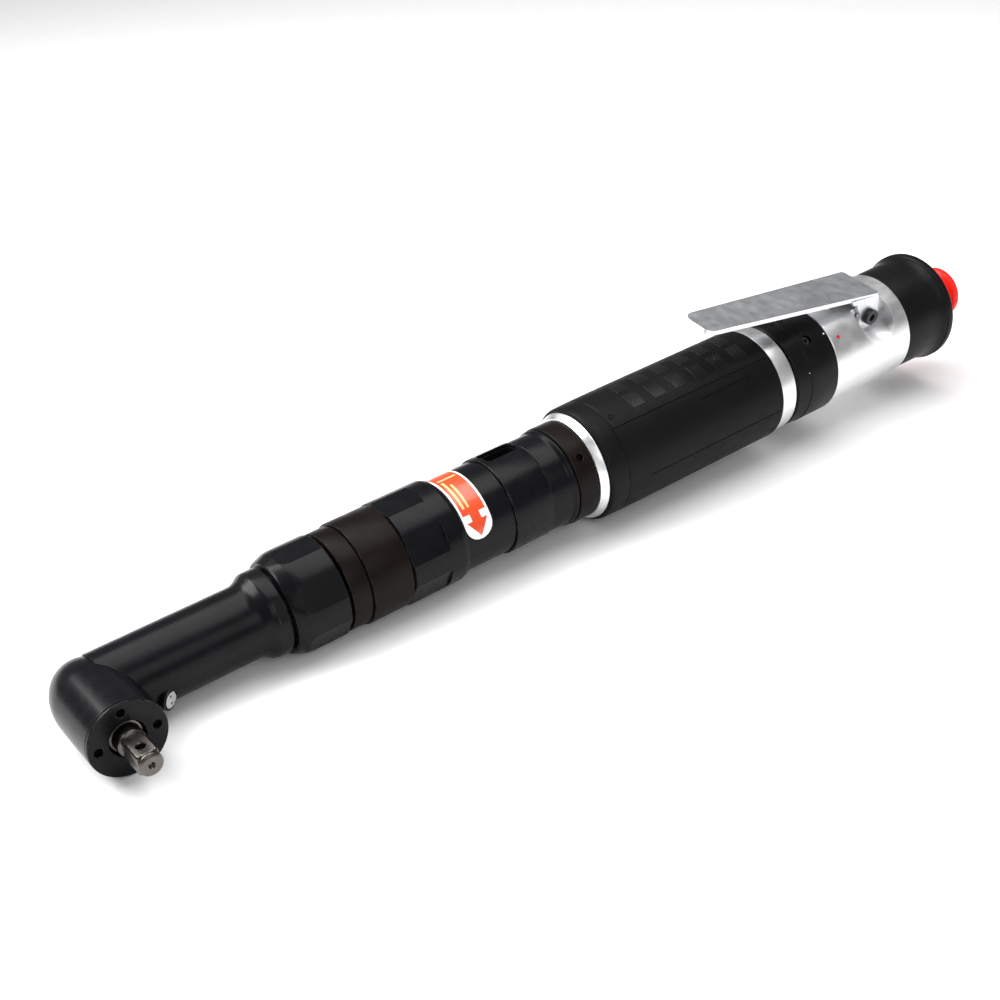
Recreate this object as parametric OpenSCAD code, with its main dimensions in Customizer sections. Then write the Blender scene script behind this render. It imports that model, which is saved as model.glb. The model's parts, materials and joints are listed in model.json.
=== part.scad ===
// Pneumatic angle nutrunner with an adjustable shut-off clutch.
// The tool axis runs along +X, from the right-angle head to the air inlet.
// The output square points along -Y, and the throttle lever is near the top (+Z).
// The origin is the centre of the retainer hole that crosses the output square.

/* [Angle head] */
// Across flats of the output square
square_af = 6.35; // [6.3:0.01:6.4]
// Distance from the tool axis to the centre of the retainer hole
drive_reach = 33.9; // [33.6:0.1:34.4]
// Radius of the retainer hole through the square
retainer_r = 1.3; // [1:0.05:1.5]
// Radius of the head barrel
head_r = 11.45; // [11.3:0.05:12]
// Distance from the tool axis to the face of the head cap
cap_face = 24.9; // [24.7:0.1:25.2]
// Radius of the circle of the cap's wrench holes
cap_hole_pcr = 8.4; // [8.2:0.1:8.6]
// Radius of the neck
neck_r = 11.3; // [11.2:0.05:11.5]

/* [Front sleeves] */
// Radius of the collar at the root of the neck
collar_r = 13.5; // [13.2:0.1:14]
// Radius of the lock nut
nut_r = 16.2; // [16:0.1:16.8]
// Half the distance across the flats of the lock nut
nut_flat = 15.6; // [15.3:0.1:15.8]
// Radius of the adapter sleeve
adapter_r = 16.5; // [16.2:0.1:17]

/* [Clutch housing] */
// Radius of the clutch housing's wrench section
clutch_r = 16.85; // [16.6:0.05:17.2]
// Radius of the label seat
label_seat_r = 15.4; // [15.2:0.1:15.8]
// Radius of the window ring
window_ring_r = 16.1; // [15.9:0.1:16.5]
// Width of the adjusting window
window_w = 7.4; // [6:0.2:8]
// Angle of the adjusting window, from straight out of the drive towards the top
window_angle = 99; // [90:1:105]

/* [Grip and motor] */
// Outer radius of the rubber grip
grip_r = 20; // [19.6:0.1:20.6]
// Radius of the motor housing under the grip
motor_tube_r = 17.3; // [17:0.1:17.6]
// Offset of the rotor from the middle of the cylinder bore
rotor_offset = 1.3; // [1:0.1:1.5]
// Number of rotor vanes
vane_count = 5; // [4:1:6]

/* [Gears] */
// Tooth module of the planetary gears
planet_module = 0.65; // [0.64:0.01:0.66]
// Teeth of the sun gear, which is cut on the rotor shaft
sun_teeth = 12; // [12:1:12]
// Teeth of each planet gear
planet_teeth = 15; // [15:1:15]
// Teeth of the bevel pinion
pinion_teeth = 10; // [10:1:10]
// Teeth of the bevel gear
bevel_teeth = 15; // [15:1:15]

/* [Valve end] */
// Radius of the reversing ring
reverse_r = 19.6; // [19.3:0.1:20]
// Radius of the valve housing
valve_r = 19.1; // [18.8:0.1:19.4]
// Radius of the rear cover's flange
flange_r = 20.3; // [20:0.1:20.8]
// Wall radius of the air inlet thread
inlet_r = 5.9; // [5.8:0.05:6.0]

/* [Throttle lever] */
// Angle of the lever's middle, from straight out of the drive towards the top
lever_angle = 79; // [76:1:82]
// Slope of the released lever
lever_slope = 9.6; // [8.5:0.1:10]
// Thickness of the lever sheet
lever_t = 1.6; // [1.4:0.1:2]

/* [Hidden] */
$fn = 72;
eps = 0.01;
fit_gap = 0.06;       // radial gap between fixed pieces
run_gap = 0.1;        // radial gap between pieces that move on each other

// Stations along the tool axis
collar_x = 52.5;
collar_end = 56.8;
nut_x = 57.7;
nut_full_x = 63.8;
nut_end = 74.9;
spacer_x = 76.0;
adapter_x = 82.6;
clutch_x = 96.9;
clutch_flats_end = 110.3;
label_x = 117.8;
label_w = 9.8;
window_ring_x = 135.6;
window_ring_end = 150.7;
window_x = 137.2;
window_end = 149.4;
lock_ring_x = 160.6;
motor_x = 168.4;
grip_x = 171.2;
grip_end = 248.6;
motor_end = 255.2;
reverse_x = 255.9;
reverse_end = 275.9;
valve_x = 276.2;
cover_x = 314.2;
flange_x = 333.8;
cover_end = 337.3;
inlet_end = 341;
plug_head_x = 350.6;
plug_end = 353.6;

// Radii shared by mating pieces
spigot_r = 12;        // rear tube of the angle housing
drum_r = 14.8;        // clutch housing under the window ring
clutch_bore = 12.6;
shaft_r = 4;
inlet_body_r = 8.6;

// Planetary set
ring_teeth = sun_teeth + 2 * planet_teeth;
planet_orbit = planet_module * (sun_teeth + planet_teeth) / 2;
planet_x = 176.4;
planet_w = 6.5;

// Bevel pair: both cones end at the crossing of the two axes
bevel_module = 1;
pinion_pitch_r = bevel_module * pinion_teeth / 2;
bevel_pitch_r = bevel_module * bevel_teeth / 2;
bevel_inner = 0.63;   // small end over large end

// Lever
lever_pivot_x = 300;
lever_pivot_h = 13.7;
lever_root_x = 304.2;
lever_len = 85;
lever_root_w = 17.8;
lever_tip_w = 13.4;
lever_top_h = 20.2;   // underside height over the axis at the root
lever_pin_r = 2;
plunger_x = 287;
plunger_r = 2;

// ---- placing and shape helpers ----

// Puts local +Z along the tool axis at station x
module along(x) {
    translate([x, drive_reach, 0]) rotate([0, 90, 0]) children();
}

// Puts local +Z out of the drive, at a distance from the tool axis
module down_drive(t) {
    translate([0, drive_reach - t, 0]) rotate([90, 0, 0]) children();
}

// At station x, local +X points at an angle measured from the drive towards the top
module at_angle(x, angle) {
    along(x) rotate([0, 0, 270 - angle]) children();
}

// Lever frame: local +Z points out through the middle of the lever
module lever_frame() {
    translate([0, drive_reach, 0]) rotate([90 - lever_angle, 0, 0]) children();
}

module tube(r_out, r_in, len) {
    difference() {
        cylinder(r = r_out, h = len);
        translate([0, 0, -1]) cylinder(r = r_in, h = len + 2);
    }
}

// Turned piece with chamfered outer ends, from station x0 to x1
module sleeve(x0, x1, r_out, r_in, chamfer = 0.3) {
    along(x0) rotate_extrude() polygon([[r_in, 0], [r_out - chamfer, 0], [r_out, chamfer],
        [r_out, x1 - x0 - chamfer], [r_out - chamfer, x1 - x0], [r_in, x1 - x0]]);
}

// Ball bearing as one bought unit: two races and a ring of balls
module bearing(r_out, r_in, width, balls) {
    race = (r_out - r_in) * 0.3;
    tube(r_out, r_out - race, width);
    tube(r_in + race, r_in, width);
    ball_r = (r_out - r_in - 2 * race) / 2 - 0.02;
    for (i = [0 : balls - 1]) rotate([0, 0, i * 360 / balls])
        translate([(r_out + r_in) / 2, 0, width / 2]) sphere(r = ball_r, $fn = 24);
}

// Flat outline of a spur gear; fill is the tooth width as a share of half a pitch
module gear_outline(teeth, pitch_r, addendum, dedendum, fill = 0.86) {
    half = 90 / teeth;
    polygon([for (i = [0 : teeth - 1], p = [[-1.35, -1], [-fill, 0], [-0.42, 1],
            [0.42, 1], [fill, 0], [1.35, -1]])
        let (a = i * 4 * half + p[0] * half,
            r = pitch_r + (p[1] > 0 ? addendum : p[1] < 0 ? -dedendum : 0))
        [r * cos(a), r * sin(a)]]);
}

// Six wrench flats cut on a round body; cuts from x0 to x1
module wrench_flats(x0, x1, flat, r, first_angle) {
    for (i = [0 : 5]) at_angle(x0, first_angle + i * 60)
        translate([flat, -r, 0]) cube([r, 2 * r, x1 - x0]);
}

// ---- angle head ----

// Grease port: leans back from the corner between head and neck
module grease_port() {
    translate([17.9, drive_reach - 11, -5.1]) rotate([90, 0, 0]) rotate([5.7, 30.2, 0])
        children();
}

module angle_housing() color("#1b1c1f") difference() {
    union() {
        down_drive(-neck_r - 0.25) rotate_extrude() polygon([[0, 0], [5.2, 0], [7, 1.2],
            [8.8, 3.3], [10.2, 6.2], [11.1, 9], [head_r, 12.4],
            [head_r, neck_r + cap_face - 0.95], [0, neck_r + cap_face - 0.95]]);
        along(0) rotate_extrude() polygon([[0, 0], [neck_r, 0], [neck_r, 49.2],
            [collar_r - 0.6, collar_x - 0.5], [collar_r, collar_x + 0.3],
            [collar_r, collar_end - 0.3], [collar_r - 0.3, collar_end],
            [spigot_r, collar_end], [spigot_r, 84], [0, 84]]);
        // boss of the grease screw, in the corner between head and neck
        grease_port() translate([0, 0, -5]) cylinder(r = 3.3, h = 4.9);
    }
    // gear chamber and cap seat
    down_drive(-7.6) cylinder(r = 5.6, h = 8);
    down_drive(-3) cylinder(r = 9.4, h = 36);
    down_drive(cap_face - 7) cylinder(r = 10.2, h = 10);
    // room for the pinion's small end
    along(4.3) cylinder(r = 4.75, h = 3);
    // pinion bore through the neck
    along(6) cylinder(r = 8.1, h = 80);
    along(60) cylinder(r = 10.4, h = 30);
    // grease hole
    grease_port() translate([0, 0, -6]) cylinder(r = 1.2, h = 8);
    grease_port() translate([0, 0, -1.5]) cylinder(r = 2.5, h = 4);
    // wrench flats on the collar
    for (a = [28.5, 208.5]) at_angle(collar_x - 0.4, a)
        translate([collar_r - 0.45, -10, 0]) cube([5, 20, 8]);
}

module head_cap() color("#222326") difference() {
    down_drive(cap_face - 6.5) rotate_extrude() polygon([[5.3, 0], [10.1, 0], [10.1, 5.3],
        [head_r, 5.3], [head_r, 6.1], [head_r - 0.4, 6.5], [5.3, 6.5]]);
    for (i = [0 : 3]) down_drive(cap_face - 2.2) rotate([0, 0, i * 90])
        translate([cap_hole_pcr, 0, 0]) cylinder(r = 1.25, h = 4);
}

module drive_spindle() color("#6d655d") difference() {
    union() {
        down_drive(-7.4) cylinder(r = 3, h = 17);
        down_drive(9.3) cylinder(r = shaft_r, h = 8);
        down_drive(17) cylinder(r = 4.85, h = 6.5);
        down_drive(23.4) cylinder(r = 4.1, h = 4.5);
        // square with turned corners
        intersection() {
            down_drive(27.6) translate([-square_af / 2, -square_af / 2, 0])
                cube([square_af, square_af, 10.2]);
            down_drive(27.6) rotate_extrude() polygon([[0, 0], [3.5, 0], [4.15, 0.7],
                [4.15, 9.4], [3.3, 10.2], [0, 10.2]]);
        }
        down_drive(37.7) rotate_extrude() polygon([[0, 0], [3, 0], [3, 0.3],
            [3.5, 0.5], [3.5, 1.1], [2.7, 1.7], [0, 1.7]]);
    }
    translate([0, 0, -5]) cylinder(r = retainer_r, h = 10);
    down_drive(38.2) cylinder(r1 = 0, r2 = 1, h = 1.3);
}

// Teeth of a bevel gear, drawn at the large end and shrunk towards the cone's tip
module bevel_teeth_solid(teeth, pitch_r, addendum, dedendum, distance) {
    translate([0, 0, distance]) mirror([0, 0, 1])
        linear_extrude(height = distance * (1 - bevel_inner), scale = bevel_inner)
        gear_outline(teeth, pitch_r, addendum, dedendum, 0.74);
}

module bevel_gear() color("#8f8a82") difference() {
    union() {
        down_drive(0) bevel_teeth_solid(bevel_teeth, bevel_pitch_r, 0.8, 1.2, pinion_pitch_r);
        down_drive(pinion_pitch_r - 0.05) cylinder(r = 6.2, h = 1);
        down_drive(pinion_pitch_r + 0.7) cylinder(r = 7.4, h = 3.5);
    }
    down_drive(0) cylinder(r = 3, h = 14);
}

module spindle_bearing() color("#b9bcc0")
    down_drive(10.9) bearing(9.35, shaft_r + run_gap, 6, 8);

module spindle_bush() color("#a58c4f") down_drive(-7.5) tube(5.6, 3 + run_gap, 2.5);

module bevel_pinion() color("#8f8a82") {
    along(0) bevel_teeth_solid(pinion_teeth, pinion_pitch_r, 0.5, 0.9, bevel_pitch_r);
    along(bevel_pitch_r - 0.05) cylinder(r = 4, h = 9);
    along(16.4) cylinder(r = 3, h = 43.6);
    along(59.9) cylinder(r = 2.6, h = 7, $fn = 6);
}

module pinion_front_bearing() color("#b9bcc0") along(16.6) bearing(8.05, 3 + run_gap, 5, 7);

module pinion_rear_bearing() color("#b9bcc0") along(50) bearing(8.05, 3 + run_gap, 5, 7);

module bearing_spacer() color("#777a7e") along(21.7) tube(8, 6.6, 28.2);

module grease_screw() color("#d5d3cd") difference() {
    grease_port() translate([0, 0, -1.5]) cylinder(r = 2.45, h = 1.7);
    for (side = [-1, 1]) grease_port() translate([side * 1.1, 0, -0.6])
        cylinder(r = 0.45, h = 2, $fn = 24);
}

// ---- front sleeves ----

module lock_nut() color("#1d1e21") difference() {
    along(nut_x) rotate_extrude() polygon([[spigot_r + fit_gap, 0], [14.1, 0], [14.5, 0.4],
        [15.9, 3.4], [nut_r, nut_full_x - nut_x], [nut_r, nut_end - nut_x - 0.4],
        [nut_r - 0.4, nut_end - nut_x], [spigot_r + fit_gap, nut_end - nut_x]]);
    wrench_flats(nut_x - 1, nut_end + 1, nut_flat, nut_r, 28);
}

module spacer_ring() color("#2c2523")
    sleeve(spacer_x, adapter_x - 0.15, 15.85, spigot_r + fit_gap);

module adapter_sleeve() color("#2c2523") difference() {
    sleeve(adapter_x, clutch_x - 0.2, adapter_r, spigot_r + fit_gap);
    along(84.2) cylinder(r = 13.05, h = 20);
}

module output_bearing() color("#b9bcc0") along(86) bearing(13, shaft_r + run_gap, 8, 10);

// ---- clutch ----

module driven_cam() color("#74777b") difference() {
    union() {
        along(61) cylinder(r = 5.2, h = 10);
        along(70.9) cylinder(r = shaft_r, h = 26);
        along(96) cylinder(r = 11.4, h = 8);
    }
    along(60) cylinder(r = 2.66, h = 8, $fn = 6);
    for (i = [0 : 5]) along(104) rotate([0, 0, i * 60]) translate([8.5, 0, 1.6])
        sphere(r = 2.45, $fn = 32);
    along(99.5) cylinder(r = 4.65, h = 6);
}

module clutch_balls() color("#c4c7cb") for (i = [0 : 5]) along(105.6)
    rotate([0, 0, i * 60]) translate([8.5, 0, 0]) sphere(r = 2.3, $fn = 32);

module sliding_cam() color("#74777b") difference() {
    along(105.3) cylinder(r = 11.4, h = 8);
    along(104) cylinder(r = 4.7, h = 12);
    for (i = [0 : 2]) along(104) rotate([0, 0, 30 + i * 120]) translate([0, -1.1, 0])
        cube([6.1, 2.2, 12]);
    for (i = [0 : 5]) along(105.6) rotate([0, 0, i * 60]) translate([8.5, 0, 0]) {
        sphere(r = 2.36, $fn = 32);
        mirror([0, 0, 1]) cylinder(r = 2.36, h = 3);
    }
}

module clutch_spring() color("#8d9094") for (i = [0 : 6]) along(115.9 + i * 3.55)
    rotate_extrude() translate([8.2, 0]) circle(r = 1.3, $fn = 24);

module adjusting_nut() color("#141416") difference() {
    along(138.6) cylinder(r = 11.8, h = 8.4);
    along(138) cylinder(r = 4.5 + run_gap, h = 10);
    for (i = [0 : 7]) at_angle(140.6, window_angle + i * 45)
        translate([10.2, -1.2, 0]) cube([3, 2.4, 5]);
}

module clutch_shaft() color("#74777b") {
    along(100) cylinder(r = 4.5, h = 75);
    // three keys carry the sliding cam
    for (i = [0 : 2]) along(105.2) rotate([0, 0, 30 + i * 120]) translate([0, -0.9, 0])
        cube([5.9, 1.8, 13]);
}

// Rounded slot of the adjusting window, cut from r_in out to r_out
module window_cut(r_in, r_out) {
    side = window_w / 2;
    corner = 1.5;
    mid = (window_x + window_end) / 2;
    reach = (window_end - window_x) / 2;
    at_angle(mid, window_angle) translate([r_in, 0, 0]) rotate([0, 90, 0])
        linear_extrude(r_out - r_in) polygon([for (q = [0 : 3], a = [0 : 22.5 : 90])
            let (cx = (q == 0 || q == 3 ? 1 : -1) * (reach - corner),
                cy = (q < 2 ? 1 : -1) * (side - corner))
            [cx + corner * cos(a + q * 90), cy + corner * sin(a + q * 90)]]);
}

module clutch_housing() color("#1e1f22") difference() {
    along(clutch_x) rotate_extrude() polygon([[clutch_bore, 0], [clutch_r - 0.4, 0],
        [clutch_r, 0.4], [clutch_r, clutch_flats_end - clutch_x + 4.5],
        [clutch_r - 0.5, label_x - clutch_x - 0.9], [label_seat_r, label_x - clutch_x - 0.4],
        [label_seat_r, window_ring_x - clutch_x - 0.1],
        [drum_r, window_ring_x - clutch_x - 0.1], [drum_r, 156 - clutch_x],
        [clutch_bore, 156 - clutch_x]]);
    wrench_flats(clutch_x - 1, clutch_flats_end, 16.2, clutch_r, 28);
    window_cut(11, 20);
}

module torque_label() color("#e8452c") {
    start = 4;
    sweep = 112;
    half = label_w / 2;
    end_angle = asin(half / label_seat_r);
    difference() {
        along(label_x) rotate([0, 0, 270 - start - sweep]) rotate_extrude(angle = sweep)
            translate([label_seat_r + 0.01, 0]) square([0.15, label_w]);
        // rounded lower end
        at_angle(label_x + half, start + end_angle) difference() {
            translate([10, 0, -half - 1]) cube([10, 10, label_w + 2]);
            translate([9, 0, 0]) rotate([0, 90, 0]) cylinder(r = half, h = 12);
        }
    }
}

module window_ring() color("#1c1d20") difference() {
    sleeve(window_ring_x, window_ring_end - 0.1, window_ring_r, drum_r + run_gap, 0.35);
    window_cut(13, 20);
}

module rear_collar() color("#202124") along(window_ring_end) rotate_extrude()
    polygon([[drum_r + fit_gap, 0], [15.5, 0], [15.8, 0.3], [15.8, 7.8], [16.5, 8.6],
        [16.5, 9.5], [16.2, 9.8], [drum_r + fit_gap, 9.8]]);

module lock_ring() color("#26231f") difference() {
    sleeve(lock_ring_x, motor_x - 0.1, 16.75, 14.4);
    for (i = [0 : 2]) at_angle((lock_ring_x + motor_x) / 2, 40.5 + i * 120)
        translate([15, 0, 0]) rotate([0, 90, 0]) cylinder(r = 1.35, h = 4);
}

// ---- planetary gears ----

module carrier_bearing() color("#b9bcc0") along(157.2) bearing(14.3, 6 + run_gap, 8, 11);

module planet_carrier() color("#74777b") difference() {
    union() {
        along(157.2) cylinder(r = 6, h = 14);
        along(171.1) cylinder(r = 12.4, h = 5);
    }
    along(156) cylinder(r = 4.5, h = 30);
    for (i = [0 : 2]) along(170) rotate([0, 0, i * 120]) translate([planet_orbit, 0, 0])
        cylinder(r = 1.6, h = 8);
}

module planet_pins() color("#c4c7cb") for (i = [0 : 2]) along(171.2)
    rotate([0, 0, i * 120]) translate([planet_orbit, 0, 0]) cylinder(r = 1.6, h = 11.8);

module planet_gear(i) color("#8f8a82") along(planet_x) rotate([0, 0, i * 120])
    translate([planet_orbit, 0, 0]) difference() {
        linear_extrude(planet_w) gear_outline(planet_teeth,
            planet_module * planet_teeth / 2, 0.4, 0.7);
        translate([0, 0, -1]) cylinder(r = 1.6 + run_gap, h = planet_w + 2);
    }

module ring_gear() color("#74777b") difference() {
    along(171) cylinder(r = 15.9, h = 14);
    along(planet_x - 0.3) linear_extrude(20) gear_outline(ring_teeth,
        planet_module * ring_teeth / 2, 0.7, 0.4, 1.14);
    along(170) cylinder(r = 12.9, h = 20);
}

// ---- air motor ----

module rotor() color("#6f7276") difference() {
    union() {
        along(planet_x + 0.2) linear_extrude(planet_w - 0.4) gear_outline(sun_teeth,
            planet_module * sun_teeth / 2, 0.4, 0.7);
        along(planet_x + planet_w - 0.3) cylinder(r = 3, h = 245 - planet_x - planet_w + 0.3);
        along(195) cylinder(r = 11, h = 40);
    }
    for (i = [0 : vane_count - 1]) along(194) rotate([0, 0, i * 360 / vane_count + 20])
        translate([5.6, -0.65, 0]) cube([8, 1.3, 42]);
}

module rotor_vanes() color("#7a5a3a") for (i = [0 : vane_count - 1]) along(195.1)
    rotate([0, 0, i * 360 / vane_count + 20]) translate([5.9, -0.6, 0])
        cube([5.3, 1.2, 39.8]);

module motor_cylinder() color("#777a7e") difference() {
    along(194.8) cylinder(r = 15.85, h = 40.4);
    along(194) translate([rotor_offset, 0, 0]) cylinder(r = 12.7, h = 42);
    for (i = [-2 : 2]) at_angle(215 + i * 6, 0) translate([10, 0, 0])
        rotate([0, 90, 0]) cylinder(r = 1.5, h = 8);
}

module end_plate(x, bearing_x) difference() {
    along(x) cylinder(r = 15.85, h = 7.6);
    along(x - 1) cylinder(r = 3.4, h = 20);
    along(bearing_x) cylinder(r = 7.05, h = 5.1);
}

module front_end_plate() color("#8b8e92") end_plate(187, 186.9);

module rear_end_plate() color("#8b8e92") end_plate(235.4, 238);

module front_rotor_bearing() color("#b9bcc0") along(187) bearing(7, 3 + run_gap, 5, 7);

module rear_rotor_bearing() color("#b9bcc0") along(238) bearing(7, 3 + run_gap, 5, 7);

module motor_housing() color("#d9dbde") difference() {
    along(motor_x) rotate_extrude() polygon([[14.5, 0], [17.2, 0], [18.4, 2.1],
        [18.4, 2.7], [motor_tube_r, 2.7], [motor_tube_r, grip_end - motor_x + 0.1],
        [19.3, grip_end - motor_x + 0.1], [19.3, motor_end - motor_x - 0.3],
        [19, motor_end - motor_x], [15.4, motor_end - motor_x]]);
    along(motor_x + 2.5) cylinder(r = 15.95, h = 74.2);
    along(240) cylinder(r = 15.3, h = 20);
}

module rubber_grip() color("#2a2b2d") difference() {
    along(grip_x) rotate_extrude() polygon([[motor_tube_r + 0.02, 0], [19.2, 0],
        [19.8, 0.6], [grip_r - 0.1, 7], [grip_r - 0.5, 7.4], [grip_r - 0.1, 7.8],
        [grip_r, 12], [grip_r, grip_end - grip_x - 0.6],
        [grip_r - 0.5, grip_end - grip_x], [motor_tube_r + 0.02, grip_end - grip_x]]);
}

// ---- valve end ----

module reverse_ring() color("#232326") difference() {
    along(reverse_x) rotate_extrude() polygon([[15.4, 0], [18.9, 0], [19.3, 0.4],
        [19.3, 6.7], [reverse_r, 7], [reverse_r, reverse_end - reverse_x - 0.4],
        [reverse_r - 0.4, reverse_end - reverse_x], [15.4, reverse_end - reverse_x]]);
    at_angle(266.7, 48.9) translate([14, 0, 0]) rotate([0, 90, 0]) {
        cylinder(r = 1.55, h = 6);
        translate([0, 0, 4.6]) cylinder(r = 1.9, h = 3);
    }
}

module reverse_screw() color("#1a1a1c") at_angle(266.7, 48.9) difference() {
    translate([9.2, 0, 0]) rotate([0, 90, 0]) cylinder(r = 1.5, h = 9.6);
    translate([17.2, 0, 0]) rotate([0, 90, 0]) cylinder(r = 0.8, h = 3, $fn = 6);
}

module reverse_valve() color("#9a8455") difference() {
    along(258) cylinder(r = 12.2, h = 16);
    along(257) cylinder(r = 4, h = 18);
    for (a = [0, 180]) at_angle(262, a + 100) translate([8, 0, -2])
        rotate([0, 0, 0]) cube([8, 4, 9]);
    at_angle(266.7, 48.9) translate([8.4, 0, 0]) rotate([0, 90, 0])
        cylinder(r = 1.56, h = 6);
}

module valve_housing() color("#cfd1d4") difference() {
    union() {
        along(246) cylinder(r = 15.25, h = 32);
        along(valve_x) rotate_extrude() polygon([[0, 0], [valve_r - 0.3, 0],
            [valve_r, 0.3], [valve_r, cover_x - valve_x - 0.4],
            [valve_r - 0.3, cover_x - valve_x - 0.1], [0, cover_x - valve_x - 0.1]]);
        along(cover_x - 1) cylinder(r = 15, h = 8);
    }
    // rotary valve chamber, with the slot for the reversing ring's screw
    along(240) cylinder(r = 12.3, h = 34.5);
    along(266.7 - 1.7) rotate([0, 0, 270 - 48.9 - 8]) rotate_extrude(angle = 56)
        translate([11, 0]) square([6, 3.4]);
    // air passages
    lever_frame() translate([272, 0, 8]) rotate([0, 90, 0]) cylinder(r = 2.6, h = plunger_x - 272);
    lever_frame() translate([plunger_x, 0, -4.5]) rotate([0, 90, 0]) cylinder(r = 3.2, h = 14);
    along(300) cylinder(r = inlet_body_r + 0.05, h = 30);
    // throttle valve bore across the axis, and the plunger guide
    lever_frame() {
        translate([plunger_x, 0, -20]) cylinder(r = 4.05, h = 31);
        translate([plunger_x, 0, 10]) cylinder(r = plunger_r + run_gap, h = 14);
        // scooped recesses beside the lever's ears
        for (side = [-1, 1]) translate([lever_pivot_x - 0.5, side * 12.9, lever_pivot_h + 1.3])
            rotate([90, 0, 0]) cylinder(r = 8.2, h = 12, center = true);
        translate([lever_pivot_x, -12, lever_pivot_h]) rotate([-90, 0, 0])
            cylinder(r = lever_pin_r, h = 24);
    }
}

// Lever sheet outline: tapers gently to a round tip; local X runs to the tip
module lever_outline() {
    tip_r = lever_tip_w / 2;
    polygon(concat([[0, lever_root_w / 2], [0, -lever_root_w / 2]],
        [for (a = [-88 : 8 : 88]) [lever_len - tip_r + tip_r * cos(a), tip_r * sin(a)]]));
}

module lever_place() {
    lever_frame() translate([lever_root_x, 0, lever_top_h]) rotate([0, lever_slope, 0])
        mirror([1, 0, 0]) children();
}

module throttle_lever() color("#c9cccf") difference() {
    union() {
        lever_place() {
            linear_extrude(lever_t) lever_outline();
            // stiffening edges folded down along the root half
            for (side = [-1, 1])
                translate([1, side * (lever_root_w - lever_t) / 2 - lever_t / 2, -1.6])
                    cube([12, lever_t, 1.7]);
        }
        // two ears reach down to the pivot
        lever_frame() for (side = [-1, 1])
            translate([lever_pivot_x, side * (lever_root_w / 2 - lever_t / 2), lever_pivot_h])
                rotate([90, 0, 0]) linear_extrude(lever_t, center = true) hull() {
                    circle(r = 4.9, $fn = 32);
                    translate([-8.6, 6.6]) square([12.7, 1]);
                }
    }
    lever_frame() translate([lever_pivot_x, -20, lever_pivot_h]) rotate([-90, 0, 0])
        cylinder(r = lever_pin_r + run_gap, h = 40);
}

module lever_screw() color("#17181a") lever_frame()
    translate([lever_pivot_x, 0, lever_pivot_h]) difference() {
        union() {
            translate([0, -9.4, 0]) rotate([-90, 0, 0]) cylinder(r = lever_pin_r, h = 18.8);
            translate([0, -10.9, 0]) rotate([-90, 0, 0]) cylinder(r = 2.9, h = 1.8);
        }
        translate([0, -11.2, 0]) rotate([-90, 0, 0]) cylinder(r = 1.4, h = 1.6, $fn = 6);
    }

module valve_plunger() color("#b5b8bc") lever_frame() {
    translate([plunger_x, 0, 3.1]) cylinder(r = 1.2, h = 8.5);
    translate([plunger_x, 0, 11.5]) cylinder(r = plunger_r, h = 9.31);
    translate([plunger_x, 0, 20.8]) sphere(r = plunger_r, $fn = 40);
}

module valve_seat() color("#a58c4f") lever_frame() translate([plunger_x, 0, 2])
    difference() {
        cylinder(r = 4, h = 3.9);
        translate([0, 0, -1]) cylinder(r = 2.2, h = 6);
    }

module throttle_ball() color("#c4c7cb") lever_frame()
    translate([plunger_x, 0, 0.25]) sphere(r = 2.75, $fn = 48);

module valve_spring() color("#8d9094") lever_frame() for (i = [0 : 4])
    translate([plunger_x, 0, -10.6 + i * 1.6]) rotate_extrude()
        translate([2.4, 0]) circle(r = 0.45, $fn = 16);

module valve_plug() color("#a9acb0") lever_frame() translate([plunger_x, 0, -18.6])
    cylinder(r = 4, h = 7.4);

module rear_cover() color("#1a1b1d") difference() {
    along(cover_x) rotate_extrude() polygon([[15.1, 0], [18.5, 0], [18.8, 0.3], [18.8, 14.5],
        [19.05, 17], [19.9, 19.4], [20.1, flange_x - cover_x], [flange_r - 0.1, 19.8],
        [flange_r, 20.2], [flange_r, cover_end - cover_x - 0.8],
        [flange_r - 0.8, cover_end - cover_x], [inlet_body_r + 0.1, cover_end - cover_x],
        [inlet_body_r + 0.1, cover_end - cover_x - 2.4], [15.1, cover_end - cover_x - 2.4]]);
    for (i = [0 : 11]) along(cover_end - 4) rotate([0, 0, i * 30]) translate([13.4, 0, 0])
        cylinder(r = 1.4, h = 6);
}

module silencer() color("#8a8474") along(322.4) tube(15, 9.6, 12.4);

module inlet_bushing() color("#9a9da1") difference() {
    union() {
        along(305) cylinder(r = inlet_body_r, h = cover_end - 305 + 0.4);
        along(cover_end) cylinder(r = 9.6, h = inlet_end - cover_end, $fn = 6);
    }
    along(304) cylinder(r = 4.4, h = 20);
    along(316.5) cylinder(r = 5.5, h = 2);
    along(318) cylinder(r = inlet_r, h = 13);
    along(330.9) cylinder(r = 6.8, h = 12);
}

module inlet_screen() color("#c4c7cb") difference() {
    along(316.6) cylinder(r = 5.45, h = 0.8);
    for (i = [-3 : 3], j = [-3 : 3]) if (i * i + j * j < 10)
        along(316) translate([i * 1.3, j * 1.3, 0]) cylinder(r = 0.4, h = 3, $fn = 24);
}

module dust_plug() color("#e02418") along(331.2) rotate_extrude()
    polygon([[0, 0], [6.6, 0], [6.7, 0.3], [6.7, inlet_end - 331.2 + 0.1],
        [7.9, inlet_end - 331.2 + 0.1], [7.4, plug_head_x - 331.2 - 1.4], [7.6, plug_head_x - 331.2],
        [9.4, plug_head_x - 331.2], [9.7, plug_head_x - 331.2 + 0.4],
        [9.7, plug_end - 331.2 - 0.8], [8.9, plug_end - 331.2], [0, plug_end - 331.2]]);

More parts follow.
